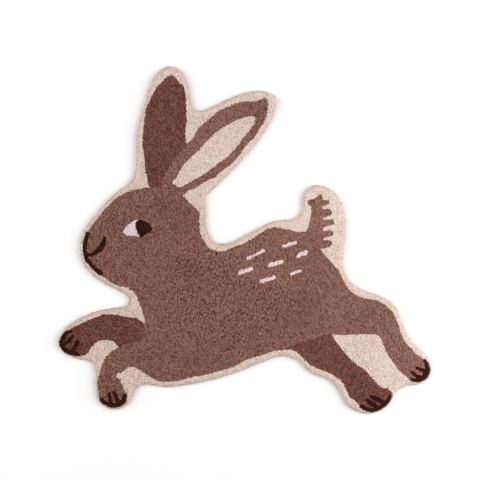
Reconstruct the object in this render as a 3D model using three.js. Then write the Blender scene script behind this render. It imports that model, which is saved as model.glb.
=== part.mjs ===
// Tufted rug in the shape of a leaping rabbit, one flat piece lying pile side up on a floor.
// Millimetres. X runs from the nose towards the hind paws, Y towards the ears and Z out of the pile.
// The origin lies on the floor under the middle of the rug's box.
import * as THREE from "three";

// Driving sizes
const OUTLINE_STEPS = 400; // equal steps round the outline, just under 10 mm each
const RUG_COLOUR = 0x87615a; // body brown of the cut pile
const RUG_ROUGHNESS = 0.95;

// The cut edge, from the hem on the floor up to the flat top of the pile. An inset is how far that
// height lies inside the outline, because the pile leans outwards over its glued hem.
const EDGE_SECTION = [
  { place: "glued hem on the floor", height: 0, inset: 5 },
  { place: "edge of the backing cloth", height: 2, inset: 2 },
  { place: "outermost pile", height: 5, inset: 0 },
  { place: "side of the pile", height: 8, inset: 0.6 },
  { place: "lower shoulder", height: 11, inset: 2.8 },
  { place: "upper shoulder", height: 13, inset: 6.5 },
  { place: "flat top of the pile", height: 14, inset: 12 },
];

// The outline as a smooth curve through these places, counter-clockwise as seen from above.
const OUTLINE = [
  { stretch: "far ear, tip", through: [[-168, 447], [-201, 462], [-230, 448]] },
  { stretch: "far ear, front side", through: [[-248, 422], [-267, 364], [-287, 292], [-291, 233]] },
  { stretch: "ear to forehead", through: [[-293, 185], [-305, 157], [-356, 115]] },
  { stretch: "nose", through: [[-401, 65], [-432, 18], [-440, -17], [-433, -58], [-403, -96]] },
  { stretch: "chin and throat", through: [[-361, -123], [-323, -142], [-309, -160], [-317, -176]] },
  { stretch: "far foreleg", through: [[-348, -182], [-396, -191], [-448, -213]] },
  { stretch: "far forepaw", through: [[-482, -239], [-498, -268], [-487, -296], [-449, -316]] },
  { stretch: "between the forelegs", through: [[-417, -322], [-401, -337], [-398, -385]] },
  { stretch: "near forepaw", through: [[-389, -429], [-361, -449], [-335, -449], [-308, -431]] },
  { stretch: "forepaw to belly", through: [[-294, -401], [-273, -385], [-212, -391]] },
  { stretch: "belly", through: [[-129, -381], [-34, -356], [46, -325]] },
  { stretch: "flank", through: [[97, -309], [137, -319], [177, -354]] },
  { stretch: "far hind leg", through: [[225, -374], [251, -402], [273, -440]] },
  { stretch: "far hind paw", through: [[310, -460], [351, -458], [383, -437]] },
  { stretch: "between the hind paws", through: [[401, -404], [428, -389]] },
  { stretch: "near hind paw", through: [[468, -382], [495, -356], [491, -321]] },
  { stretch: "hock and thigh", through: [[462, -287], [438, -260], [417, -214], [399, -176], [361, -150]] },
  { stretch: "rump", through: [[312, -133], [277, -107], [262, -63]] },
  { stretch: "tail, back side", through: [[268, -1], [268, 64], [249, 115]] },
  { stretch: "tail, tip", through: [[212, 142], [173, 141], [155, 113]] },
  { stretch: "tail root and back", through: [[151, 75], [130, 56], [76, 49], [15, 20]] },
  { stretch: "nape", through: [[-44, -9], [-80, -8], [-99, 22], [-105, 73], [-103, 117]] },
  { stretch: "near ear, lower side", through: [[-78, 143], [-7, 214], [52, 289]] },
  { stretch: "near ear, tip", through: [[82, 348], [84, 376], [52, 395]] },
  { stretch: "near ear, upper side", through: [[-4, 390], [-84, 356]] },
  { stretch: "between the ears", through: [[-116, 343], [-136, 349], [-149, 407]] },
];

// The closed curve through all the stretches, as points at equal steps along it, moved so that
// the middle of its box is at the origin.
function outlinePoints() {
  const places = OUTLINE.flatMap((row) => row.through).map(([x, y]) => new THREE.Vector3(x, y, 0));
  const curve = new THREE.CatmullRomCurve3(places, true, "centripetal");
  curve.arcLengthDivisions = places.length * 40;
  const points = curve.getSpacedPoints(OUTLINE_STEPS).slice(0, OUTLINE_STEPS);
  const middle = new THREE.Box3().setFromPoints(points).getCenter(new THREE.Vector3());
  return points.map((point) => new THREE.Vector2(point.x - middle.x, point.y - middle.y));
}

// The outline's points moved inwards by the inset, square to the outline at each point.
function insetRing(points, inset) {
  return points.map((point, i) => {
    const before = points.at(i - 1);
    const after = points[(i + 1) % points.length];
    const along = after.clone().sub(before).normalize();
    return new THREE.Vector2(point.x - along.y * inset, point.y + along.x * inset);
  });
}

// One closed body: a ring of points at each height of the edge section, bands of faces between
// them, and a flat face over the first ring and the last.
function slabGeometry(points, section) {
  const rings = section.map((row) => insetRing(points, row.inset));
  const positions = rings.flatMap((ring, level) => ring.flatMap((p) => [p.x, p.y, section[level].height]));
  const count = points.length;
  const faces = [];
  for (let level = 0; level + 1 < rings.length; level += 1) {
    for (let i = 0; i < count; i += 1) {
      const a = level * count + i;
      const b = level * count + ((i + 1) % count);
      faces.push(a, b, b + count, a, b + count, a + count);
    }
  }
  const top = (rings.length - 1) * count;
  for (const [a, b, c] of THREE.ShapeUtils.triangulateShape(rings[0], [])) {
    faces.push(a, c, b);
  }
  for (const [a, b, c] of THREE.ShapeUtils.triangulateShape(rings.at(-1), [])) {
    faces.push(top + a, top + b, top + c);
  }
  const geometry = new THREE.BufferGeometry();
  geometry.setAttribute("position", new THREE.Float32BufferAttribute(positions, 3));
  geometry.setIndex(faces);
  geometry.computeVertexNormals();
  return geometry;
}

const pile = new THREE.MeshStandardMaterial({ color: RUG_COLOUR, roughness: RUG_ROUGHNESS, metalness: 0 });
const rug = new THREE.Mesh(slabGeometry(outlinePoints(), EDGE_SECTION), pile);
rug.name = "rug";

const part = new THREE.Group();
part.add(rug);

export default part;
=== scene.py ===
import math

import bpy
import numpy as np
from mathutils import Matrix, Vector


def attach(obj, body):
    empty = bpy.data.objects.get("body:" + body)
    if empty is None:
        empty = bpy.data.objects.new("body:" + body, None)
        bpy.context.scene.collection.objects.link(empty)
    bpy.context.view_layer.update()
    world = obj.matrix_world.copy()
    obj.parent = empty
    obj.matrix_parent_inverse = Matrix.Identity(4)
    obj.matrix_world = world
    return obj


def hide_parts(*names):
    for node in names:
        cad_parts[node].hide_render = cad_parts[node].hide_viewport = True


# %% [markdown]
# # A tufted rug in the shape of a leaping rabbit
# A tufting gun shoots loops of cotton yarn through a stretched cloth, close together, and a
# blade cuts them level. What we see from above is some forty thousand cut ends. A picture laid
# on a flat sheet would be quicker to make, but it has no shade between tufts and no soft edge.
# So the rug is built the way it is made: one flat cloth, and on it real tufts, each a small
# closed shape, coloured by the place in the design where its yarn was shot.
#
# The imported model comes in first, as the fixed frame that gives the outline and the height.

# %% Load the frame
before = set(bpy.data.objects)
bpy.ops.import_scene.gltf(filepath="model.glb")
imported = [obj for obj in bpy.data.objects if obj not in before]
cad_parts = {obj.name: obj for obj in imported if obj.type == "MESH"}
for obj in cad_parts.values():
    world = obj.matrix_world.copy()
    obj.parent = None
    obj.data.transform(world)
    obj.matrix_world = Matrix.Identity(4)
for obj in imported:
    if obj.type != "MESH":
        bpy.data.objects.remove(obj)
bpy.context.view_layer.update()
MM = 0.001
WIDEST = 5 * MM  # the height of the rug's outline, where the pile leans out furthest


def new_object(name, data):
    """A new object of the data, put in the scene at the origin."""
    made = bpy.data.objects.new(name, data)
    bpy.context.scene.collection.objects.link(made)
    return made


# %% [markdown]
# ## The camera
# The rug is looked at from straight above, with the ears up. A long lens held three metres
# up keeps the edges of the pile from leaning outwards in the picture, as a studio shot does.

# %% Camera
PICTURE_WIDTH = 1.28  # metres across the picture, at the height of the rug's outline
CAMERA_HEIGHT = 3.0
CAMERA_PLACE = (-0.0133, 0.0)  # the rug lies a little right of the picture's middle
SENSOR = 36.0  # the usual width in millimetres

camera_data = bpy.data.cameras.new("camera")
camera_data.sensor_fit = "HORIZONTAL"
camera_data.sensor_width = SENSOR
camera_data.lens = SENSOR * (CAMERA_HEIGHT - WIDEST) / PICTURE_WIDTH
camera = new_object("camera", camera_data)
camera.location = (*CAMERA_PLACE, CAMERA_HEIGHT)
bpy.context.scene.camera = camera
print("lens in millimetres:", round(camera_data.lens, 1))

# %% [markdown]
# ## The outline, read from the frame
# The CAD rug is a stack of rings, so its widest ring is the outline. The mesh holds loose
# triangles, and each one with a side on that ring gives one step of it. Following the steps
# from corner to corner puts the ring in order, which sorting by angle can't do here, because
# ears and legs double back.

# %% Outline ring
SAME = 0.01 * MM  # two heights closer than this are one


def loop_area(loop):
    """The area within a closed loop, half the sum of x y' - x' y, where the dash marks the next
    point. It is negative if the loop runs clockwise."""
    x, y = loop.T
    return 0.5 * (x * np.roll(y, -1) - np.roll(x, -1) * y).sum()


def ring_at(node, height):
    """The closed ring of a CAD node's corners at one height, in order, as (x, y) rows."""
    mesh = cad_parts[node].data
    place = np.empty(len(mesh.vertices) * 3)
    mesh.vertices.foreach_get("co", place)
    corner = np.empty(len(mesh.loops), int)
    mesh.loops.foreach_get("vertex_index", corner)
    triangles = place.reshape(-1, 3)[corner.reshape(-1, 3)]
    on = np.abs(triangles[:, :, 2] - height) < SAME
    below = triangles[:, :, 2].min(1) < height - SAME
    band = triangles[(on.sum(1) == 2) & below]
    band_on = np.abs(band[:, :, 2] - height) < SAME
    first = np.array([0, 1, 2])[np.argmax(band_on & np.roll(band_on, -1, 1), 1)]
    rows = np.arange(len(band))
    start = band[rows, first, :2]
    end = band[rows, (first + 1) % 3, :2]
    keys = {tuple(k): i for i, k in enumerate(np.round(start, 6).tolist())}
    follows = [keys[tuple(k)] for k in np.round(end, 6).tolist()]
    order = [0]
    while len(order) < len(follows):
        order.append(follows[order[-1]])
    ring = start[order]
    return ring if loop_area(ring) > 0 else ring[::-1]


outline = ring_at("rug", WIDEST)
rug_size = np.ptp(outline, axis=0)

# %% [markdown]
# ## Curves through set places
# Every shape of the design is a smooth closed curve through its places. A Catmull-Rom curve
# goes through all of them, and its centripetal form doesn't overshoot where they lie unevenly.
# The curve is then walked at equal steps, so tufts can be set along it.

# %% Curve helpers
FINE_STEPS = 24  # points worked out between two places, before the curve is walked
MOST_PAIRS = 1_500_000  # of points and sides measured at once, to spare memory
LATTICE = 256  # numbers each way in a random field's lattice, after which it repeats


def closed_curve(places, step):
    """Points at equal steps along the centripetal Catmull-Rom curve through the places.

    Between p1 and p2 the curve is the Hermite cubic with the slopes
    m1 = t12 ((p1-p0)/t01 - (p2-p0)/(t01+t12) + (p2-p1)/t12), and m2 likewise one place on,
    where t is the square root of the distance between two places.
    """
    p1 = np.asarray(places, float)
    p0, p2, p3 = np.roll(p1, 1, 0), np.roll(p1, -1, 0), np.roll(p1, -2, 0)
    t12 = np.sqrt(np.linalg.norm(p2 - p1, axis=1))[:, None]
    t01, t23 = np.roll(t12, 1, 0), np.roll(t12, -1, 0)
    m1 = t12 * ((p1 - p0) / t01 - (p2 - p0) / (t01 + t12) + (p2 - p1) / t12)
    m2 = t12 * ((p2 - p1) / t12 - (p3 - p1) / (t12 + t23) + (p3 - p2) / t23)
    u = np.linspace(0, 1, FINE_STEPS, endpoint=False)[None, :, None]
    p1, p2, m1, m2 = (a[:, None] for a in (p1, p2, m1, m2))
    fine = (2 * u**3 - 3 * u**2 + 1) * p1 + (u**3 - 2 * u**2 + u) * m1
    fine = fine + (3 * u**2 - 2 * u**3) * p2 + (u**3 - u**2) * m2
    fine = fine.reshape(-1, 2)
    fine = np.vstack([fine, fine[:1]])
    walked = np.concatenate([[0], np.cumsum(np.linalg.norm(np.diff(fine, axis=0), axis=1))])
    count = max(3, round(walked[-1] / step))
    at = np.arange(count) * walked[-1] / count
    return np.stack([np.interp(at, walked, fine[:, k]) for k in (0, 1)], 1)


def outward(ring):
    """The unit vector that points out of a counter-clockwise ring at each of its points."""
    along = np.roll(ring, -1, 0) - np.roll(ring, 1, 0)
    along /= np.linalg.norm(along, axis=1)[:, None]
    return np.stack([along[:, 1], -along[:, 0]], 1)


def nearest(points, loop):
    """The distance from each point to a closed loop, and the unit vector from point to loop.

    On the side from a to b the nearest place is a + t (b-a), with t = (p-a).(b-a) / |b-a|^2
    kept between 0 and 1.
    """
    a = loop
    side = np.roll(loop, -1, 0) - a
    length2 = (side**2).sum(1)
    found = []
    for some in np.array_split(points, max(1, len(points) * len(a) // MOST_PAIRS)):
        t = (((some[:, None] - a) * side).sum(2) / length2).clip(0, 1)
        gap = a + t[:, :, None] * side - some[:, None]
        best = (gap**2).sum(2).argmin(1)
        found.append(gap[np.arange(len(some)), best])
    gap = np.vstack(found)
    distance = np.linalg.norm(gap, axis=1)
    return distance, gap / np.maximum(distance, 1e-9)[:, None]


def inside(points, loop):
    """True for each point within a closed loop, where a line from the point to the right
    crosses the loop an odd number of times."""
    px, py = points[:, :1], points[:, 1:]
    ax, ay = loop.T
    bx, by = np.roll(loop, -1, 0).T
    spans = (ay > py) != (by > py)
    run = np.where(by == ay, 1, by - ay)
    crosses = spans & (px < ax + (py - ay) * (bx - ax) / run)
    return crosses.sum(1) % 2 == 1


def drift(points, cell, seed, turn=0.0, stretch=1.0):
    """A smooth random field from -1 to 1 with hills about one cell wide.

    A seeded lattice of numbers is blended between its four corners by 3u^2 - 2u^3. The field
    can be turned, and stretched along its own second direction.
    """
    c, s = math.cos(turn), math.sin(turn)
    own = points @ np.array([[c, -s], [s, c]]) / np.array([cell, cell * stretch])
    low = np.floor(own).astype(int)
    u, v = (3 * (own - low) ** 2 - 2 * (own - low) ** 3).T
    lattice = np.random.default_rng(seed).uniform(-1, 1, (LATTICE, LATTICE))
    i, j = (low % LATTICE).T
    i_after, j_after = (i + 1) % LATTICE, (j + 1) % LATTICE
    near = lattice[i, j] * (1 - u) + lattice[i_after, j] * u
    far = lattice[i, j_after] * (1 - u) + lattice[i_after, j_after] * u
    return near * (1 - v) + far * v


# %% [markdown]
# ## The design
# The rabbit is laid out as a tufter draws it on the cloth: one closed shape for each part of
# the body, in real millimetres from the rug's middle, with the shapes that lie behind drawn
# first. Where two shapes overlap, the later one wins, so corners such as the throat need no
# points of their own. What no shape covers stays cream, and that is the border.

# %% Shapes of the design
CREAM, BROWN, DARK, LINE, WHITE = range(5)
YARN_NAMES = ("cream", "brown", "dark", "line", "fleck")

SHAPES = (  # name, yarn and the places along the edge, in millimetres
    ("far ear", DARK, (
        (-196, 439), (-210, 432), (-223, 418), (-240, 397), (-248, 384), (-256, 366),
        (-263, 352), (-267, 328), (-269, 306), (-272, 279), (-273, 249), (-270, 235),
        (-267, 208), (-264, 181), (-260, 164), (-254, 140), (-231, 127), (-204, 148),
        (-177, 199), (-156, 257), (-158, 268), (-158, 295), (-155, 317), (-156, 330),
        (-157, 357), (-158, 384), (-160, 396), (-164, 408), (-176, 420), (-187, 432))),
    ("far foreleg", DARK, (
        (-257, -241), (-273, -218), (-289, -209), (-311, -206), (-335, -200), (-359, -198),
        (-378, -199), (-397, -206), (-418, -215), (-442, -225), (-464, -237), (-480, -249),
        (-492, -265), (-495, -281), (-485, -295), (-465, -305), (-444, -311), (-426, -306),
        (-415, -296), (-404, -281), (-389, -268), (-369, -266), (-353, -269), (-341, -279),
        (-329, -289), (-292, -295), (-257, -281))),
    ("far hind leg", DARK, (
        (105, -291), (121, -292), (142, -301), (158, -319), (176, -334), (194, -342),
        (218, -351), (240, -362), (258, -376), (268, -396), (279, -417), (296, -432),
        (311, -448), (329, -459), (351, -457), (372, -445), (388, -428), (393, -409),
        (380, -397), (361, -391), (345, -375), (329, -356), (313, -341), (296, -332),
        (281, -317), (268, -303), (255, -287), (240, -268), (231, -252), (201, -228),
        (148, -241), (108, -273))),
    ("tail", BROWN, (
        (161, 24), (168, 31), (171, 44), (174, 62), (176, 78), (174, 90), (169, 94), (166, 104),
        (177, 108), (190, 114), (200, 123), (204, 118), (207, 111), (205, 92), (208, 65),
        (208, 25), (208, -8), (201, -22), (175, -28), (158, 4))),
    ("body and near hind leg", BROWN, (
        (-116, 5), (-97, -20), (-63, -31), (-28, -19), (9, -3), (36, 15), (57, 28), (76, 34),
        (108, 29), (137, 22), (168, 20), (201, -20), (204, -31), (216, -45), (231, -60),
        (243, -75), (251, -87), (261, -105), (270, -123), (284, -139), (300, -149),
        (321, -156), (343, -159), (364, -167), (390, -189), (402, -212), (412, -240),
        (416, -255), (423, -265), (431, -276), (440, -287), (449, -297), (462, -308),
        (475, -317), (490, -327), (495, -348), (484, -369), (464, -380), (440, -374),
        (430, -363), (421, -358), (412, -350), (401, -336), (392, -322), (381, -307),
        (375, -294), (368, -281), (364, -269), (359, -259), (354, -253), (345, -251),
        (287, -252), (236, -251), (223, -249), (201, -255), (180, -264), (159, -269),
        (137, -276), (119, -285), (105, -291), (81, -296), (52, -303), (20, -314), (-3, -322),
        (-24, -334), (-70, -349), (-111, -360), (-145, -365), (-177, -374), (-204, -377),
        (-228, -375), (-248, -367), (-280, -347), (-306, -330), (-319, -308), (-303, -275),
        (-279, -268), (-269, -249), (-269, -231), (-267, -213), (-273, -193), (-279, -172),
        (-287, -153), (-297, -137), (-311, -127), (-252, -55), (-172, -1))),
    ("near foreleg", BROWN, (
        (-252, -295), (-300, -274), (-330, -282), (-343, -288), (-357, -299), (-367, -309),
        (-377, -323), (-383, -339), (-387, -356), (-391, -368), (-393, -380), (-391, -395),
        (-389, -411), (-385, -425), (-372, -441), (-353, -448), (-335, -445), (-317, -433),
        (-313, -414), (-322, -397), (-329, -380), (-333, -372), (-343, -363), (-337, -355),
        (-324, -350), (-312, -340), (-301, -337), (-287, -340), (-270, -350), (-252, -343))),
    ("near ear", BROWN, (
        (55, 378), (61, 371), (61, 352), (57, 330), (48, 310), (38, 296), (28, 277), (8, 258),
        (-1, 247), (-12, 230), (-28, 209), (-47, 194), (-66, 180), (-82, 166), (-99, 159),
        (-118, 147), (-132, 138), (-154, 130), (-163, 120), (-193, 116), (-223, 130),
        (-222, 148), (-217, 167), (-206, 186), (-198, 202), (-184, 221), (-171, 235),
        (-160, 246), (-152, 259), (-143, 265), (-133, 281), (-122, 299), (-105, 314),
        (-89, 328), (-73, 341), (-56, 351), (-35, 359), (-18, 365), (6, 368), (31, 370))),
    ("head", BROWN, (
        (-255, 140), (-279, 136), (-303, 131), (-327, 121), (-351, 105), (-374, 81), (-393, 57),
        (-409, 36), (-421, 16), (-429, -7), (-430, -31), (-420, -55), (-401, -73), (-383, -92),
        (-364, -107), (-345, -119), (-324, -125), (-303, -126), (-252, -140), (-159, -60),
        (-115, -9), (-119, 20), (-122, 49), (-123, 76), (-140, 91), (-153, 105), (-167, 119),
        (-183, 132), (-217, 137))),
    ("inside of the near ear", CREAM, (
        (18, 330), (26, 327), (27, 315), (21, 304), (7, 286), (-6, 270), (-20, 250),
        (-35, 234), (-44, 223), (-61, 211), (-83, 195), (-104, 179), (-132, 162), (-153, 150),
        (-172, 141), (-179, 140), (-183, 147), (-195, 150), (-186, 162), (-175, 180),
        (-161, 204), (-146, 217), (-130, 232), (-114, 249), (-91, 273), (-73, 290), (-53, 302),
        (-33, 313), (-16, 321), (2, 327))),
    ("white of the eye", WHITE, (
        (-326, 21), (-320, 31), (-308, 42), (-297, 50), (-287, 53), (-276, 40), (-274, 20),
        (-281, 9), (-293, 11), (-307, 10), (-318, 14), (-324, 18))),
    ("pupil", LINE, (
        (-279, 54), (-260, 46), (-248, 32), (-251, 21), (-261, 17), (-270, 10), (-276, 6),
        (-284, 15), (-289, 27), (-292, 40), (-288, 49))),
)

# %% [markdown]
# ## The drawn lines
# The mouth, the claws, the flecks on the back and the comb of the tail are strokes: the tufting
# gun is run along a line. A tuft takes the stroke's yarn if it lies within half the stroke's
# width of that line, and a line can grow thicker or thinner on its way. The flecks are shot
# freehand, so each one wavers a little, by seeded random steps, instead of being a neat bar.

# %% Strokes of the design
SHAPE_STEP = 4  # from point to point along a shape's edge, in millimetres
TAIL_COMB = (  # height of each tooth, how far out it reaches, and its width at half its length
    (98, 224, 14), (71, 231, 21), (45, 237, 17.5), (16, 234, 17), (-11, 232, 19.5))
TOOTH_ROOT = 200  # where the teeth start, within the tail
TOOTH_TAPER = 0.14  # how much wider a tooth is at its root, and narrower at its tip
TOOTH_LIFT = 2  # how far its tip stands above its middle, and its root below
FLECK_PLACES = 7  # along each fleck
FLECK_WAVER = 1.1  # how far a hand-guided fleck strays to either side of its line
FLECK_SWELL = (0.78, 1.2)  # its thinnest and thickest, of its width
FLECKS = (  # middle of each fleck, its length, its width and its slope in degrees
    (28, -39, 54, 8, 27.5), (119, -11, 42, 8, 19), (152, -37, 33, 11, 24),
    (82, -62, 43, 10.5, 15), (2, -81, 44, 10.5, 18), (135, -86, 34, 8.5, 22),
    (60, -105, 44, 9.5, 15))
LINES = (  # places along each line, with the line's width there
    ("front of the nose", (
        (-420, 17, 11), (-423, 4, 12), (-427, -16, 13), (-427, -30, 12.5), (-423, -44, 12),
        (-417, -57, 11.5), (-407, -70, 11.5), (-396, -80, 12), (-384, -88, 12.5))),
    ("mouth", (
        (-418, -41, 9.5), (-408, -39, 10), (-397, -34, 12), (-387, -25, 13.5),
        (-379, -14, 13.5), (-375, -4, 11.5), (-373, 6, 8))),
    ("far forepaw, edge", (
        (-464, -244, 9), (-472, -245, 11), (-479, -252, 12), (-486, -261, 13.5),
        (-489, -271, 14), (-488, -280, 14), (-482, -290, 12.5), (-474, -297, 12),
        (-464, -301, 12), (-454, -303, 11.5), (-443, -305, 11))),
    ("far forepaw, upper claw", (
        (-458, -256, 8), (-464, -263, 10), (-470, -270, 10), (-478, -275, 9))),
    ("far forepaw, lower claw", (
        (-444, -270, 9), (-449, -278, 12), (-454, -287, 12.5), (-458, -296, 12))),
    ("near forepaw, edge", (
        (-383, -425, 12), (-373, -434, 12), (-359, -440, 13), (-345, -442, 13.5),
        (-332, -438, 13), (-323, -428, 12), (-320, -414, 10))),
    ("near forepaw, front claw", ((-362, -409, 9), (-358, -423, 11), (-358, -436, 10))),
    ("near forepaw, back claw", ((-349, -405, 9), (-343, -419, 11), (-337, -431, 10.5))),
    ("far hind paw, edge", (
        (310, -444, 11), (318, -448, 11), (328, -452, 12), (339, -453, 12), (351, -450, 12),
        (361, -445, 11), (371, -439, 10.5), (378, -431, 10.5), (384, -422, 9.5),
        (385, -414, 8))),
    ("far hind paw, lower claw", (
        (324, -426, 10), (331, -432, 12.5), (339, -438, 12), (346, -443, 11))),
    ("far hind paw, upper claw", (
        (337, -417, 9), (345, -421, 12.5), (355, -425, 13), (365, -431, 11), (371, -433, 9))),
    ("near hind paw, edge", (
        (479, -321, 9.5), (483, -331, 11), (486, -342, 13.5), (485, -353, 14),
        (479, -363, 14), (469, -370, 14), (457, -373, 12), (443, -372, 9.5))),
    ("near hind paw, upper claw", ((457, -341, 8.5), (469, -345, 9.5), (480, -349, 9))),
    ("near hind paw, lower claw", ((444, -352, 8), (454, -360, 10), (464, -366, 10.5))),
)


def design_layers():
    """The design from the back to the front. Each layer is its yarn and its path in metres.
    The path of a closed shape has two columns, and that of a stroke has a third, which is
    half the stroke's width."""
    shapes = [(colour, closed_curve(places, SHAPE_STEP) * MM) for _name, colour, places in SHAPES]
    comb = []
    for height, reach, width in TAIL_COMB:
        root, tip = width / 2 * (1 + TOOTH_TAPER), width / 2 * (1 - TOOTH_TAPER)
        path = ((TOOTH_ROOT, height - TOOTH_LIFT, root), (reach - tip, height + TOOTH_LIFT, tip))
        comb.append((BROWN, np.array(path) * MM))
    front = []
    hand = np.random.default_rng(17)
    for cx, cy, length, width, slope in FLECKS:
        t = np.linspace(-1, 1, FLECK_PLACES) * (length - width) / 2
        aside = hand.uniform(-1, 1, FLECK_PLACES) * FLECK_WAVER
        c, s = math.cos(math.radians(slope)), math.sin(math.radians(slope))
        half = width / 2 * hand.uniform(*FLECK_SWELL, FLECK_PLACES)
        path = np.stack([cx + t * c - aside * s, cy + t * s + aside * c, half], 1)
        front.append((WHITE, path * MM))
    for _name, path in LINES:
        front.append((LINE, np.array(path, float) * [1, 1, 0.5] * MM))
    behind_comb = 1 + [name for name, _colour, _places in SHAPES].index("tail")
    return shapes[:behind_comb] + comb + shapes[behind_comb:] + front


LAYERS = design_layers()
FAR = 1.0  # a distance beyond every reach, for points well away from a layer
MARGIN = 15 * MM  # round a layer's box, within which its distance is measured


def stroke_gaps(points, path):
    """For each point, the distance to a stroke's edge and the unit vector to its middle line.

    On the side from a to b the nearest place is a + t (b-a), as in nearest(), and the width
    there runs evenly from a's to b's, so the gap is |p - a - t (b-a)| - (h_a + t (h_b - h_a)).
    """
    a, b = path[:-1], path[1:]
    side = (b - a)[:, :2]
    t = (((points[:, None] - a[:, :2]) * side).sum(2) / (side**2).sum(1)).clip(0, 1)
    to_line = a[:, :2] + t[:, :, None] * side - points[:, None]
    length = np.linalg.norm(to_line, axis=2)
    gap = length - (a[:, 2] + t * (b - a)[:, 2])
    best, rows = gap.argmin(1), np.arange(len(points))
    return gap[rows, best], to_line[rows, best] / np.maximum(length[rows, best], 1e-9)[:, None]


def layer_gaps(points, layer):
    """For each point, the distance to a layer's edge, negative inside it, and the unit vector
    to the nearest place on that edge. Points outside the layer's box are left at FAR."""
    path = layer[1]
    gap, way = np.full(len(points), FAR), np.zeros((len(points), 2))
    low, high = path[:, :2].min(0) - MARGIN, path[:, :2].max(0) + MARGIN
    near = ((points > low) & (points < high)).all(1)
    if near.any():
        some = points[near]
        if path.shape[1] == 2:
            distance, way[near] = nearest(some, path)
            gap[near] = np.where(inside(some, path), -distance, distance)
        else:
            gap[near], to_line = stroke_gaps(some, path)
            way[near] = to_line * np.sign(gap[near])[:, None]
    return gap, way


def yarn_at(points):
    """The yarn of the design at each point, as an index into YARN_NAMES."""
    yarn = np.full(len(points), CREAM)
    for layer in LAYERS:
        yarn[layer_gaps(points, layer)[0] < 0] = layer[0]
    return yarn


print("layers of the design:", len(LAYERS))

# %% [markdown]
# ## Where the tufts stand
# At the rim the pile bends over like a brush pressed at its edge: its tips lie on a quarter of
# an ellipse, from the side of the rug up to its flat top. Seven rows of tufts follow the outline
# there, and their angle on the ellipse gives both their place and the way they lean. Their ends
# are of unequal length, so the edge is soft. Inside them the tufts stand in close rows like a
# honeycomb. The gun is guided by hand, so the rows wander and no tuft is quite in line.

# %% Tuft layout
PITCH = 3.6 * MM  # from tuft to tuft
PILE_TOP = 14 * MM
RIM_WIDTH, RIM_RISE = 12 * MM, 9 * MM  # the ellipse from the rug's side to its top
RIM_ANGLES = (-22, 0, 21, 40, 58, 75, 91)  # degrees up the ellipse, one row of tufts each
RIM_FRAY = 2 * MM  # how far the longest ends reach past the ellipse
WANDER, WANDER_CELL = 5 * MM, 0.07  # how far a row drifts from straight, and over what length
STRAY = 0.7 * MM  # how far a tuft may stand from its place in the row
RIM_STRAY = 0.15  # how far along its row a tuft of the rim may stand from its place, in pitches
FIELD_FROM, FIRST_ROW, PUSHED = 0.5, 0.9, 1.3  # distances from the rim's last row, in pitches
rng = np.random.default_rng(7)


def rim_tufts():
    """Tips and directions of the rim's rows. At the angle f a tip lies RIM_WIDTH (1 - cos f)
    inside the outline and RIM_RISE sin f above the widest height, and points along the
    ellipse's normal, (cos f / RIM_WIDTH, sin f / RIM_RISE)."""
    tips, ways = [], []
    fine = closed_curve(outline, PITCH)
    for degrees in RIM_ANGLES:
        f = math.radians(degrees)
        ring = closed_curve(fine - outward(fine) * RIM_WIDTH * (1 - math.cos(f)), PITCH)
        out = outward(ring)
        shift = rng.uniform(-RIM_STRAY, RIM_STRAY, len(ring)) * PITCH
        ring = ring + np.stack([-out[:, 1], out[:, 0]], 1) * shift[:, None]
        height = np.full((len(ring), 1), WIDEST + RIM_RISE * math.sin(f))
        rise = np.full_like(height, math.sin(f) / RIM_RISE)
        way = np.hstack([out * math.cos(f) / RIM_WIDTH, rise])
        way /= np.linalg.norm(way, axis=1)[:, None]
        fray = rng.uniform(0, 1, (len(ring), 1)) * RIM_FRAY * math.cos(f)
        tips.append(np.hstack([ring, height]) + way * fray)
        ways.append(way)
    return np.vstack(tips), np.vstack(ways)


def field_tufts():
    """Tips and directions of the flat field: a honeycomb of PITCH, its rows set off by a slow
    drift and each tuft by a small stray, kept where it is deeper than the rim. The tufts next
    to the rim are pushed to FIRST_ROW from its last row, so no bare line is left there."""
    half = rug_size / 2 + 2 * PITCH
    row_gap = PITCH * math.sqrt(3) / 2
    i, j = np.meshgrid(
        np.arange(-int(half[0] / PITCH), int(half[0] / PITCH)),
        np.arange(-int(half[1] / row_gap), int(half[1] / row_gap)),
        indexing="ij",
    )
    flat = np.stack([(i + 0.5 * (j % 2)) * PITCH, j * row_gap], -1).reshape(-1, 2)
    wander = np.stack([drift(flat, WANDER_CELL, seed) for seed in (11, 12)], 1) * WANDER
    flat = flat + wander + rng.uniform(-STRAY, STRAY, flat.shape)
    flat = flat[inside(flat, outline)]
    depth, to_rim = nearest(flat, outline)
    keep = depth > RIM_WIDTH + FIELD_FROM * PITCH
    flat, depth, to_rim = flat[keep], depth[keep], to_rim[keep]
    first = RIM_WIDTH + FIRST_ROW * PITCH
    push = np.where(depth < RIM_WIDTH + PUSHED * PITCH, first - depth, 0)
    flat = flat - to_rim * push[:, None]
    tips = np.hstack([flat, np.full((len(flat), 1), PILE_TOP)])
    ways = np.tile([0.0, 0.0, 1.0], (len(flat), 1))
    return tips, ways


rim_tips, rim_ways = rim_tufts()
field_tips, field_ways = field_tufts()
tips = np.vstack([rim_tips, field_tips])
ways = np.vstack([rim_ways, field_ways])
on_rim = np.arange(len(tips)) < len(rim_tips)
print("tufts on the rim:", len(rim_tips), "in the field:", len(field_tips))

# %% [markdown]
# ## Clean edges between two yarns
# A tufter works the outline of every shape first and fills it afterwards, so the tufts beside
# an edge stand in line with it. Here each tuft takes the yarn of the front-most shape it lies
# in. One that stands too close to another yarn is then pushed back from that edge, on its own
# side, though not quite far enough, which leaves the edge a little ragged.

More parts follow.
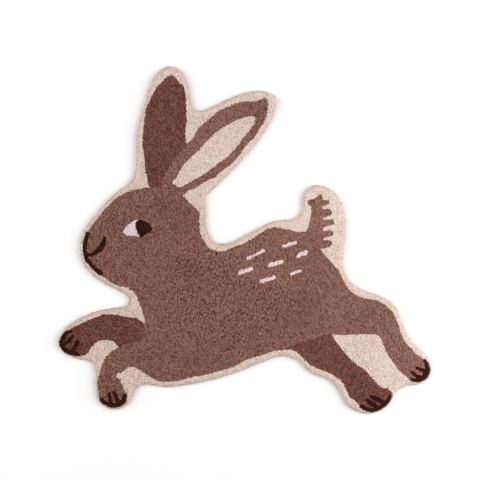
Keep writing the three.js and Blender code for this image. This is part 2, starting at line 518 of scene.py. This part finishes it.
# %% Yarn of each tuft
EDGE_CLEAR = 0.45 * PITCH  # how far a tuft should stand from another yarn
ACROSS = 0.6 * MM  # how far beyond an edge the other yarn is looked for
RIM_PUSH, FIELD_PUSH = 0.4, 0.6  # how much of the way a tuft is pushed


def settle_at_edges(points, share):
    """The points pushed clear of the design's edges, and their yarns. A layer's edge counts
    for a point if no later layer covers the point and the yarn just across it is another."""
    measured = [layer_gaps(points, layer) for layer in LAYERS]
    gaps = np.stack([gap for gap, _way in measured])
    colours = np.array([CREAM] + [layer[0] for layer in LAYERS])
    order = np.arange(1, len(LAYERS) + 1)[:, None]
    top = ((gaps < 0) * order).max(0)
    yarn = colours[top]
    moved = points.copy()
    for rank, (gap, way) in enumerate(measured, start=1):
        close = np.flatnonzero((np.abs(gap) < EDGE_CLEAR) & (top <= rank))
        across = points[close] + way[close] * (np.abs(gap[close]) + ACROSS)[:, None]
        close = close[yarn_at(across) != yarn[close]]
        push = (EDGE_CLEAR - np.abs(gap[close])) * share[close]
        moved[close] -= way[close] * push[:, None]
    return moved, yarn


place, yarn = settle_at_edges(tips[:, :2], np.where(on_rim, RIM_PUSH, FIELD_PUSH))
tips[:, :2] = place
print("tufts of each yarn:", dict(zip(YARN_NAMES, np.bincount(yarn, minlength=5).tolist())))

# %% [markdown]
# ## Nap, partings and tone
# Cut pile never stands quite upright. It leans together in patches, which look lighter or
# darker, and it parts in short dark lines where a row of tufting shows. The lean is a slow
# drift that neighbours share, and a parting is a place where a long narrow drift is high:
# the tufts there are cut a little lower, and painted shade colours them darker. The flank
# has been combed, which draws the streaks of the yarn out into longer lines. Painted light
# makes the pile lighter towards the tail, and lighter or darker in a few broad patches.
# Each tuft keeps these values as attributes of its mesh, and the yarn's material reads them.

# %% Nap and tone
NAP_LEAN = 0.12  # sideways lean for each unit of height, shared by a patch
NAP_CELL = 0.09  # metres across such a patch
OWN_LEAN = 0.16  # each tuft's own lean
UNEVEN = 0.4 * MM  # how unevenly the blade has cut
PARTING_CELL, PARTING_STRETCH = 3.4 * MM, 3.2  # a parting's width, and its length in widths
PARTING_FROM, PARTING_FULL = 0.12, 0.52  # heights of the drift where a parting starts and is full
PARTING_DEPTH = 1.4 * MM
# painted shade: how much darker a parting's tufts are coloured
PARTING_SHADE = 0.2
PARTING_TURN = math.radians(18)  # partings run a little off the rug's height
RIM_NAP, RIM_PARTING = 0.5, 0.3  # how much of the nap and the partings the rim has
FLANK = np.array([-0.04, -0.13])  # the pile is combed most round this place
FLANK_REACH = 0.23  # metres from there to where the combing fades
MOST_COMBED = 0.95
BASE_TONE, OWN_TONE = 0.045, 0.06  # the whole pile's tone, and how much each tuft's differs
FINE_DRIFT, BROAD_DRIFT = 0.03, 0.07  # how much the tone drifts over 1 cm and over 8 cm
TINT_DRIFT, OWN_TINT = 0.7, 0.2  # how much the warmth drifts, and how much each tuft's differs
EYE_TINT = 0.2  # the eye is of a cooler white yarn, with this much of the flecks' warmth
RIM_PAINTED_SHADE = 0.4  # painted shade: how much darker the cream rim is coloured, where it turns down into shade
PAINTED_LIGHT_SLOPE = 0.24  # painted light: for each metre towards the tail, how much lighter the pile is coloured
PALE_GAIN = 1.6  # how much more of the painted light goes on cream, which is near its light end
PAINTED_LIGHT_PATCHES = (  # painted light in patches: middle and reach in mm, and change of tone
    ("ears", (-130, 310), 200, 0.06), ("nape", (-130, 20), 90, -0.1),
    ("tail", (195, 50), 100, 0.19), ("near hind paw", (440, -300), 110, 0.09),
    ("chest and belly", (-180, -300), 220, -0.05))

nap = np.stack([drift(place, NAP_CELL, seed) for seed in (21, 22)], 1) * NAP_LEAN
nap = nap + rng.normal(0, OWN_LEAN, nap.shape)
outwards = ways[:, :2].copy()
ways[:, :2] += nap * np.where(on_rim, RIM_NAP, 1.0)[:, None]
ways /= np.linalg.norm(ways, axis=1)[:, None]
from_flank = np.linalg.norm(place - FLANK, axis=1)
combed = MOST_COMBED * np.exp(-((from_flank / FLANK_REACH) ** 4)) * ~on_rim
parting = drift(place, PARTING_CELL, 31, turn=PARTING_TURN, stretch=PARTING_STRETCH)
parting = np.clip((parting - PARTING_FROM) / (PARTING_FULL - PARTING_FROM), 0, 1)
parting *= np.where(on_rim, RIM_PARTING, 1.0)
tips[:, 2] += rng.uniform(-UNEVEN, UNEVEN, len(tips)) * ~on_rim - parting * PARTING_DEPTH
# painted shade: the tufts of a parting are also coloured darker
tone = rng.normal(0, OWN_TONE, len(tips)) - PARTING_SHADE * parting + BASE_TONE
tone += FINE_DRIFT * drift(place, 0.010, 41) + BROAD_DRIFT * drift(place, 0.08, 42)
# painted light: the tone rises towards the tail, and rises or falls in the patches
painted_light = PAINTED_LIGHT_SLOPE * place[:, 0]
for _name, middle, reach, change in PAINTED_LIGHT_PATCHES:
    away = np.linalg.norm(place / MM - middle, axis=1)
    painted_light += change * np.exp(-((away / reach) ** 2))
tone += painted_light * np.where(yarn == CREAM, PALE_GAIN, 1.0)
# painted shade: the cream rim is coloured darker the further out it leans
tone -= RIM_PAINTED_SHADE * np.linalg.norm(outwards, axis=1) * (yarn == CREAM)
tint = 0.5 + TINT_DRIFT * drift(place, 0.03, 43) + rng.normal(0, OWN_TINT, len(tips))
tint = np.clip(tint, 0, 1)
in_eye = (yarn == WHITE) & (place[:, 0] < -0.2)  # the flecks lie further right
tint[in_eye] *= EYE_TINT
print("tufts in a parting:", int((parting > 0.5).sum()))

# %% [markdown]
# ## One tuft
# A tuft is pinched where it comes out of the cloth and blooms above it. That is a flat cut end
# of five corners, a wide ring of five that touches the neighbours so that no floor shows
# between tufts, and a pole at the root: eighteen triangles, closed. Hair strands would be finer,
# but tens of strands for each tuft are too many for a part that others will use. All tufts of a
# yarn are one mesh, made from arrays at once.
#
# The map OFBake lays every tuft out as a flat star in a square of its own, seen from its tip,
# so a picture of its colours has room for each face.

# %% Tuft meshes
SIDES = 5
CROWN_RADIUS, BLOOM_RADIUS = 0.42 * PITCH, 0.95 * PITCH
CROWN_DROP, BLOOM_DROP, ROOT_DROP = 0.2 * MM, 4.6 * MM, 7.5 * MM
FLOOR_CLEAR = 0.2 * MM  # the lowest ends are pressed flat just above the floor
TUFT_SIZES, CORNER_SIZES = (0.94, 1.08), (0.86, 1.14)  # smallest and largest, of the radius
CROWN_ROUGH, BLOOM_ROUGH = 0.25 * MM, 0.2 * MM  # how uneven the heights of a ring's corners are
OFF_WAY = (0.31, 0.95, 0.05)  # a direction that no tuft points in
MAP_RADII = (0.45, 0.78, 0.98)  # crown, bloom and root on the star, of half a square
ROOT = 2 * SIDES


def tuft_faces():
    """The eighteen triangles of a tuft. Corners 0 to 4 are the crown, 5 to 9 the bloom, turned
    by half a side, and 10 is the root."""
    k = np.arange(SIDES)
    after = (k + 1) % SIDES
    return np.concatenate([
        [[0, 1, 2], [0, 2, 3], [0, 3, 4]],
        np.stack([k, SIDES + k, after], 1),
        np.stack([SIDES + k, SIDES + after, after], 1),
        np.stack([np.full(SIDES, ROOT), SIDES + after, SIDES + k], 1),
    ])


def tuft_map():
    """Where each corner of each triangle lies on the star, from -1 to 1 both ways."""
    turn = 2 * np.pi / SIDES
    k = np.arange(SIDES)

    def at(radius, angle):
        return np.stack([radius * np.cos(angle), radius * np.sin(angle)], -1)

    r1, r2, r3 = MAP_RADII
    crown, crown_after = at(r1, k * turn), at(r1, (k + 1) * turn)
    bloom, bloom_after = at(r2, (k + 0.5) * turn), at(r2, (k + 1.5) * turn)
    return np.concatenate([
        crown[[[0, 1, 2], [0, 2, 3], [0, 3, 4]]],
        np.stack([crown, bloom, crown_after], 1),
        np.stack([bloom, bloom_after, crown_after], 1),
        np.stack([at(r3, (k + 1) * turn), bloom_after, bloom], 1),
    ])


def tuft_corners(tip, way, dice):
    """The eleven corners of each tuft, as an array of tufts by corners by 3.

    With u and v square to the tuft's way w, a ring's corner is
    tip - drop w + radius (cos a u + sin a v), and both radius and drop vary a little.
    """
    count = len(tip)
    across = np.cross(way, OFF_WAY)
    across /= np.linalg.norm(across, axis=1)[:, None]
    other = np.cross(way, across)
    size = dice.uniform(*TUFT_SIZES, (count, 1))
    spin = dice.uniform(0, 2 * np.pi, (count, 1))
    angle = spin + np.arange(SIDES) * 2 * np.pi / SIDES
    rings = []
    for radius, drop, twist, rough in (
        (CROWN_RADIUS, CROWN_DROP, 0.0, CROWN_ROUGH),
        (BLOOM_RADIUS, BLOOM_DROP, np.pi / SIDES, BLOOM_ROUGH)):
        a = (angle + twist)[:, :, None]
        r = radius * size[:, :, None] * dice.uniform(*CORNER_SIZES, (count, SIDES, 1))
        down = drop + dice.uniform(-rough, rough, (count, SIDES, 1))
        flat = np.cos(a) * across[:, None] + np.sin(a) * other[:, None]
        rings.append(tip[:, None] - way[:, None] * down + flat * r)
    rings.append(tip[:, None] - way[:, None] * ROOT_DROP)
    corners = np.concatenate(rings, 1)
    corners[:, :, 2] = np.maximum(corners[:, :, 2], FLOOR_CLEAR)
    return corners


def tuft_object(name, chosen):
    """One mesh of all the chosen tufts. Tone, tint, combing and depth are its attributes."""
    corners = tuft_corners(tips[chosen], ways[chosen], np.random.default_rng(len(chosen)))
    count, each = corners.shape[:2]
    faces = (tuft_faces()[None] + each * np.arange(count)[:, None, None]).reshape(-1)
    mesh = bpy.data.meshes.new(name)
    mesh.vertices.add(count * each)
    mesh.vertices.foreach_set("co", corners.astype(np.float32).ravel())
    mesh.loops.add(len(faces))
    mesh.loops.foreach_set("vertex_index", faces.astype(np.int32))
    mesh.polygons.add(len(faces) // 3)
    mesh.polygons.foreach_set("loop_start", np.arange(0, len(faces), 3, dtype=np.int32))
    mesh.polygons.foreach_set("use_smooth", np.ones(len(faces) // 3, bool))
    mesh.update(calc_edges=True)
    across = math.ceil(math.sqrt(count))
    cell = np.stack([np.arange(count) % across, np.arange(count) // across], 1)
    star = (cell[:, None, None] + 0.5 + 0.5 * tuft_map()[None]) / across
    mesh.uv_layers.new(name="OFBake").uv.foreach_set("vector", star.astype(np.float32).ravel())
    # for the painted shade between tufts: 0 at the cut end, 1 at the bloom and the root
    depth = np.repeat([0.0, 1.0], [SIDES, SIDES + 1])  # the crown, then the bloom and the root
    values = {
        "tone": np.repeat(tone[chosen], each),
        "tint": np.repeat(tint[chosen], each),
        "combed": np.repeat(combed[chosen], each),
        "depth": np.tile(depth, count),
    }
    for key, value in values.items():
        attribute = mesh.attributes.new(key, "FLOAT", "POINT")
        attribute.data.foreach_set("value", value.astype(np.float32))
    print(name, "tufts:", count, "triangles:", count * len(tuft_faces()))
    return new_object(name, mesh)


# %% [markdown]
# ## Yarn
# All yarns are the same soft cotton and differ in colour alone, so one node group works out how
# the colour varies: each tuft has its own tone and tint, short streaks along the rows, longer
# where the pile is combed, give each ply's own tone and painted shade between the rows, and
# painted shade makes the yarn darker down between tufts. Light that has gone from yarn to yarn
# is redder as well as weaker, so the dark end of the scale is a colour of its own, and so is the
# light end, where the cut ends face the lamp. The same group gives the fine fibre relief.
# The Principled shader stays in each material, with a little sheen, because cotton fuzz
# scatters light at the edges of every tuft.

# %% Yarn node group and materials
PLY_SHADE_SIZE = (1.8 * MM, 3.8 * MM, 3.8 * MM)  # a streak of ply tone and painted row shade: across the rows, along them, in depth
PLY_SHADE_CONTRAST = 3.9  # how far these streaks differ, before a yarn's own range is applied
COMB_SHADE_SIZE = (1.7 * MM, 7.2 * MM, 7.2 * MM)  # a longer streak of the same kind, where the pile is combed, in the same order
COMB_SHADE_CONTRAST = 4.9
LIGHTEST = 1.7  # the level at which a yarn has its light colour
FIBRES = 1400.0  # to a metre
FIBRE_RELIEF = 0.3 * MM


def set_inputs(node, values):
    """Give some of a node's inputs their values."""
    for key, value in values.items():
        node.inputs[key].default_value = value


def add(tree, kind, values=None, **settings):
    """A new node of a kind, with its settings made and then some of its inputs given values."""
    node = tree.nodes.new(kind)
    for key, value in settings.items():
        setattr(node, key, value)
    set_inputs(node, values or {})
    return node


def wire(source, out, target, into):
    """Join an output of one node to an input of another."""
    source.id_data.links.new(source.outputs[out], target.inputs[into])


def yarn_group():
    """The shared node group: how a yarn's colour varies over its tufts, and its fibres.

    level = 1 + range (tone + streaks) - shade depth, where tone also carries the painted light
    and shade set for each tuft. The streaks stand for each ply's own tone and for painted shade
    between the rows, and go over from short ones to longer comb lines as combed goes from 0 to
    1; shade times depth is painted shade down between tufts. The colour runs from the shadow
    colour at level 0 to the yarn's own at level 1, and on to the light colour at LIGHTEST.
    """
    tree = bpy.data.node_groups.new("yarn tone", "ShaderNodeTree")
    for key, kind in (
        ("Colour", "NodeSocketColor"), ("Warm colour", "NodeSocketColor"),
        ("Shadow colour", "NodeSocketColor"), ("Light colour", "NodeSocketColor"),
        ("Tone range", "NodeSocketFloat"), ("Shade between tufts", "NodeSocketFloat")):
        tree.interface.new_socket(name=key, in_out="INPUT", socket_type=kind)
    tree.interface.new_socket(name="Colour", in_out="OUTPUT", socket_type="NodeSocketColor")
    tree.interface.new_socket(name="Fibre", in_out="OUTPUT", socket_type="NodeSocketFloat")
    given, result = add(tree, "NodeGroupInput"), add(tree, "NodeGroupOutput")
    tone_of, tint_of, combed_of, depth_of = (
        add(tree, "ShaderNodeAttribute", attribute_name=key)
        for key in ("tone", "tint", "combed", "depth"))
    where = add(tree, "ShaderNodeTexCoord")
    fibre = add(tree, "ShaderNodeTexNoise", {"Scale": FIBRES, "Detail": 2.0})
    wire(where, "Object", fibre, "Vector")

    def streaks(size, contrast):
        """Noise drawn out along the rows, spread about 0 by the contrast."""
        turned = {"Rotation": (0, 0, PARTING_TURN), "Scale": size}
        along_rows = add(tree, "ShaderNodeMapping", turned, vector_type="TEXTURE")
        noise = add(tree, "ShaderNodeTexNoise", {"Scale": 1.0, "Detail": 1.0})
        centred = {1: contrast, 2: -0.5 * contrast}
        spread = add(tree, "ShaderNodeMath", centred, operation="MULTIPLY_ADD")
        wire(where, "Object", along_rows, "Vector")
        wire(along_rows, "Vector", noise, "Vector")
        wire(noise, "Fac", spread, 0)
        return spread

    # streaks of each ply's own tone and of painted shade between the rows, longer where combed
    ply_shade = streaks(PLY_SHADE_SIZE, PLY_SHADE_CONTRAST)
    comb = streaks(COMB_SHADE_SIZE, COMB_SHADE_CONTRAST)

    tinted = add(tree, "ShaderNodeMix", data_type="RGBA")
    wire(tint_of, "Fac", tinted, "Factor")
    wire(given, "Colour", tinted, "A")
    wire(given, "Warm colour", tinted, "B")

    streaked = add(tree, "ShaderNodeMix", data_type="FLOAT")
    wire(combed_of, "Fac", streaked, "Factor")
    wire(ply_shade, 0, streaked, "A")
    wire(comb, 0, streaked, "B")
    varied = add(tree, "ShaderNodeMath", operation="ADD")
    wire(tone_of, "Fac", varied, 0)
    wire(streaked, "Result", varied, 1)
    level = add(tree, "ShaderNodeMath", {2: 1.0}, operation="MULTIPLY_ADD")
    wire(varied, 0, level, 0)
    wire(given, "Tone range", level, 1)
    # painted shade: the colour darkens towards the bloom and root, down between tufts
    deep = add(tree, "ShaderNodeMath", operation="MULTIPLY")
    wire(depth_of, "Fac", deep, 0)
    wire(given, "Shade between tufts", deep, 1)
    lit = add(tree, "ShaderNodeMath", operation="SUBTRACT")
    wire(level, 0, lit, 0)
    wire(deep, 0, lit, 1)
    shaded = add(tree, "ShaderNodeMix", data_type="RGBA")
    wire(lit, 0, shaded, "Factor")
    wire(given, "Shadow colour", shaded, "A")
    wire(tinted, "Result", shaded, "B")
    above = add(tree, "ShaderNodeMapRange", {"From Min": 1.0, "From Max": LIGHTEST})
    wire(lit, 0, above, "Value")
    colour = add(tree, "ShaderNodeMix", data_type="RGBA")
    wire(above, "Result", colour, "Factor")
    wire(shaded, "Result", colour, "A")
    wire(given, "Light colour", colour, "B")
    wire(colour, "Result", result, "Colour")
    wire(fibre, "Fac", result, "Fibre")
    return tree


def linear(r, g, b):
    """A colour given by its screen values from 0 to 255, as the linear light a shader takes."""
    c = np.array([r, g, b]) / 255
    light = np.where(c <= 0.04045, c / 12.92, ((c + 0.055) / 1.055) ** 2.4)
    return (*light.tolist(), 1.0)


YARN_COLOURS = {  # main, warmer patches, shadow and light end, range, shade between tufts
    "cream": ((234, 215, 200), (238, 212, 203), (140, 114, 101), (255, 248, 240), 0.6, 0.37),
    "brown": ((148, 107, 92), (152, 104, 94), (60, 16, 12), (180, 140, 128), 1.05, 0.9),
    "dark": ((126, 79, 66), (129, 78, 69), (50, 10, 8), (152, 109, 97), 1.1, 0.9),
    "line": ((60, 16, 8), (60, 16, 9), (24, 4, 2), (78, 33, 25), 1.1, 0.9),
    "fleck": ((241, 225, 236), (254, 225, 226), (156, 118, 122), (255, 250, 250), 0.6, 0.45),
}
yarn_tone = yarn_group()


def new_material(name, values):
    """A material, its node tree, and its Principled shader with some inputs given values."""
    material = bpy.data.materials.new(name)
    material.use_nodes = True
    shader = material.node_tree.nodes["Principled BSDF"]
    set_inputs(shader, values)
    return material, material.node_tree, shader


def yarn_material(name, main, warm, shadow, light, tone_range, shade):
    """A cotton yarn: the shared tone group into the colour, and its fibres into a bump."""
    cotton = {
        "Roughness": 0.95, "Specular IOR Level": 0.08, "Sheen Weight": 0.05, "Sheen Roughness": 0.6}
    material, tree, shader = new_material(f"cotton yarn, {name}", cotton)
    own = {
        "Colour": linear(*main), "Warm colour": linear(*warm), "Shadow colour": linear(*shadow),
        "Light colour": linear(*light), "Tone range": tone_range, "Shade between tufts": shade}
    group = add(tree, "ShaderNodeGroup", own, node_tree=yarn_tone)
    bump = add(tree, "ShaderNodeBump", {"Strength": 0.6, "Distance": FIBRE_RELIEF})
    wire(group, "Colour", shader, "Base Color")
    wire(group, "Fibre", bump, "Height")
    wire(bump, "Normal", shader, "Normal")
    return material


# %% [markdown]
# ## The pile
# Each yarn is tufted on its own, the brown of the body in passes that lie between one another,
# so that every piece stays light enough to handle while it still covers the whole figure.

# %% Pile pieces
MOST_TUFTS = 10500  # in one piece, so that it stays under 200,000 triangles
for index, name in enumerate(YARN_NAMES):
    chosen = np.flatnonzero(yarn == index)
    material = yarn_material(name, *YARN_COLOURS[name])
    passes = math.ceil(len(chosen) / MOST_TUFTS)
    for k in range(passes):
        label = f"pile_{name}" if passes == 1 else f"pile_{name}_pass_{k + 1}"
        piece = tuft_object(label, chosen[k::passes])
        piece.data.materials.append(material)
        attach(piece, "root")
        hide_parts("rug")

# %% [markdown]
# ## The cloth underneath
# The tufts hold in a woven cotton cloth whose cut edge is turned under and glued. It is one flat
# sheet, and the only part of the rug that touches the floor. It is a ring profile carried round
# the outline and closed with a flat face above and below. Under the pile its upper side is
# matted with the yarn's roots, and a second material gives that side their dull brown.

# %% Backing cloth
CLOTH_EDGE = (  # height and distance inside the outline in mm, from the hem to under the roots
    (0.0, 5.0), (0.5, 3.6), (1.6, 3.0), (3.0, 3.4), (5.0, 6.0), (7.0, 11.0))
CLOTH_STEP = 5 * MM  # from point to point round the cloth
BARE_BANDS = 3  # of its edge, below the ones that lie under the pile
THREADS = 160.0  # the scale of the weave's waves
THREAD_RELIEF = 0.4 * MM


def cloth_object(name):
    """The cloth, rings of the outline at each height of its edge, joined by bands of faces,
    with one flat face below the first ring and one above the last, and the number of each
    face's material, 0 for the bare cloth and 1 where it lies under the pile."""
    ring = closed_curve(outline, CLOTH_STEP)
    out = outward(ring)
    count = len(ring)
    rings = [
        np.hstack([ring - out * inset * MM, np.full((count, 1), height * MM)])
        for height, inset in CLOTH_EDGE
    ]
    i = np.arange(count)
    after = (i + 1) % count
    bands = [
        np.stack([i, after, after + count, i + count], 1) + level * count
        for level in range(len(rings) - 1)
    ]
    faces = [tuple(reversed(range(count)))] + np.vstack(bands).tolist()
    faces.append(tuple(range(count * (len(rings) - 1), count * len(rings))))
    mesh = bpy.data.meshes.new(name)
    mesh.from_pydata(np.vstack(rings).tolist(), [], faces)
    mesh.update()
    under_pile = np.zeros(len(faces), np.int32)
    under_pile[1 + BARE_BANDS * count:] = 1
    print(name, "faces:", len(faces))
    return new_object(name, mesh), under_pile


def cloth_material():
    """Plain woven cotton, from two crossed waves, and a film of dried glue that fills it."""
    material, tree, shader = new_material("woven backing cloth", {"Roughness": 0.85})
    where = add(tree, "ShaderNodeTexCoord")
    weave = add(tree, "ShaderNodeMath", operation="MAXIMUM")
    for number, direction in enumerate("XY"):
        threads = {"Scale": THREADS, "Distortion": 1.2, "Detail Scale": 3.0}
        wave = add(tree, "ShaderNodeTexWave", threads, bands_direction=direction)
        wire(where, "Object", wave, "Vector")
        wire(wave, "Fac", weave, number)
    blotch = add(tree, "ShaderNodeTexNoise", {"Scale": 14.0, "Detail": 3.0})
    wire(where, "Object", blotch, "Vector")
    unbleached = {"A": linear(196, 184, 160), "B": linear(226, 216, 196)}
    cotton = add(tree, "ShaderNodeMix", unbleached, data_type="RGBA")
    wire(weave, 0, cotton, "Factor")
    glued = add(tree, "ShaderNodeMix", {"Factor": 0.25}, data_type="RGBA", blend_type="MULTIPLY")
    wire(cotton, "Result", glued, "A")
    wire(blotch, "Color", glued, "B")
    wire(glued, "Result", shader, "Base Color")
    bump = add(tree, "ShaderNodeBump", {"Strength": 0.7, "Distance": THREAD_RELIEF})
    wire(weave, 0, bump, "Height")
    wire(bump, "Normal", shader, "Normal")
    return material


def root_material():
    """The matted roots of the yarn, seen only deep between two tufts."""
    material, tree, shader = new_material("matted yarn roots", {"Roughness": 1.0})
    where = add(tree, "ShaderNodeTexCoord")
    noise = add(tree, "ShaderNodeTexNoise", {"Scale": 300.0})
    dull = {"A": linear(128, 104, 94), "B": linear(156, 132, 120)}
    mix = add(tree, "ShaderNodeMix", dull, data_type="RGBA")
    wire(where, "Object", noise, "Vector")
    wire(noise, "Fac", mix, "Factor")
    wire(mix, "Result", shader, "Base Color")
    return material


cloth, under_pile = cloth_object("backing_cloth")
cloth.data.materials.append(cloth_material())
cloth.data.materials.append(root_material())
cloth.data.polygons.foreach_set("material_index", under_pile)
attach(cloth, "root")
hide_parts("rug")

# %% [markdown]
# ## Floor and light
# The rug lies on a white floor between two large soft lights, as on a copying stand, with a
# stronger one at the right and a weaker one at the left. A pale light from all round fills
# in, so the shadow is a thin soft rim, widest at the left. One hard lamp would cut a black
# line along the edge and make the pile look coarse.

# %% Floor, lights and world
FLOOR_SIZE = 12.0
floor_mesh = bpy.data.meshes.new("floor")
half = FLOOR_SIZE / 2
floor_corners = [(-half, -half, 0), (half, -half, 0), (half, half, 0), (-half, half, 0)]
floor_mesh.from_pydata(floor_corners, [], [(0, 1, 2, 3)])
floor = new_object("floor", floor_mesh)
matt_white = {"Base Color": (0.98, 0.98, 0.98, 1), "Roughness": 0.9, "Specular IOR Level": 0.1}
floor_mesh.materials.append(new_material("white floor", matt_white)[0])

LIGHTS = (  # name, place, length along the rug's height, width, and power in watts
    ("key from the right", (2.9, 0.1, 2.0), 4.0, 3.4, 147.0),
    ("fill from the left", (-2.9, 0.1, 2.0), 4.0, 3.4, 104.0),
)
ALL_ROUND = 0.2  # the strength of the pale light from all round
for name, where, length, width, power in LIGHTS:
    lamp_data = bpy.data.lights.new(name, "AREA")
    lamp_data.shape = "RECTANGLE"
    lamp_data.size = length
    lamp_data.size_y = width
    lamp_data.energy = power
    lamp = new_object(name, lamp_data)
    lamp.location = where
    lamp.rotation_euler = Vector(where).to_track_quat("Z", "Y").to_euler()

world = bpy.data.worlds.new("studio")
world.use_nodes = True
set_inputs(world.node_tree.nodes["Background"], {"Color": (1, 1, 1, 1), "Strength": ALL_ROUND})
bpy.context.scene.world = world
bpy.context.scene.view_settings.view_transform = "Standard"
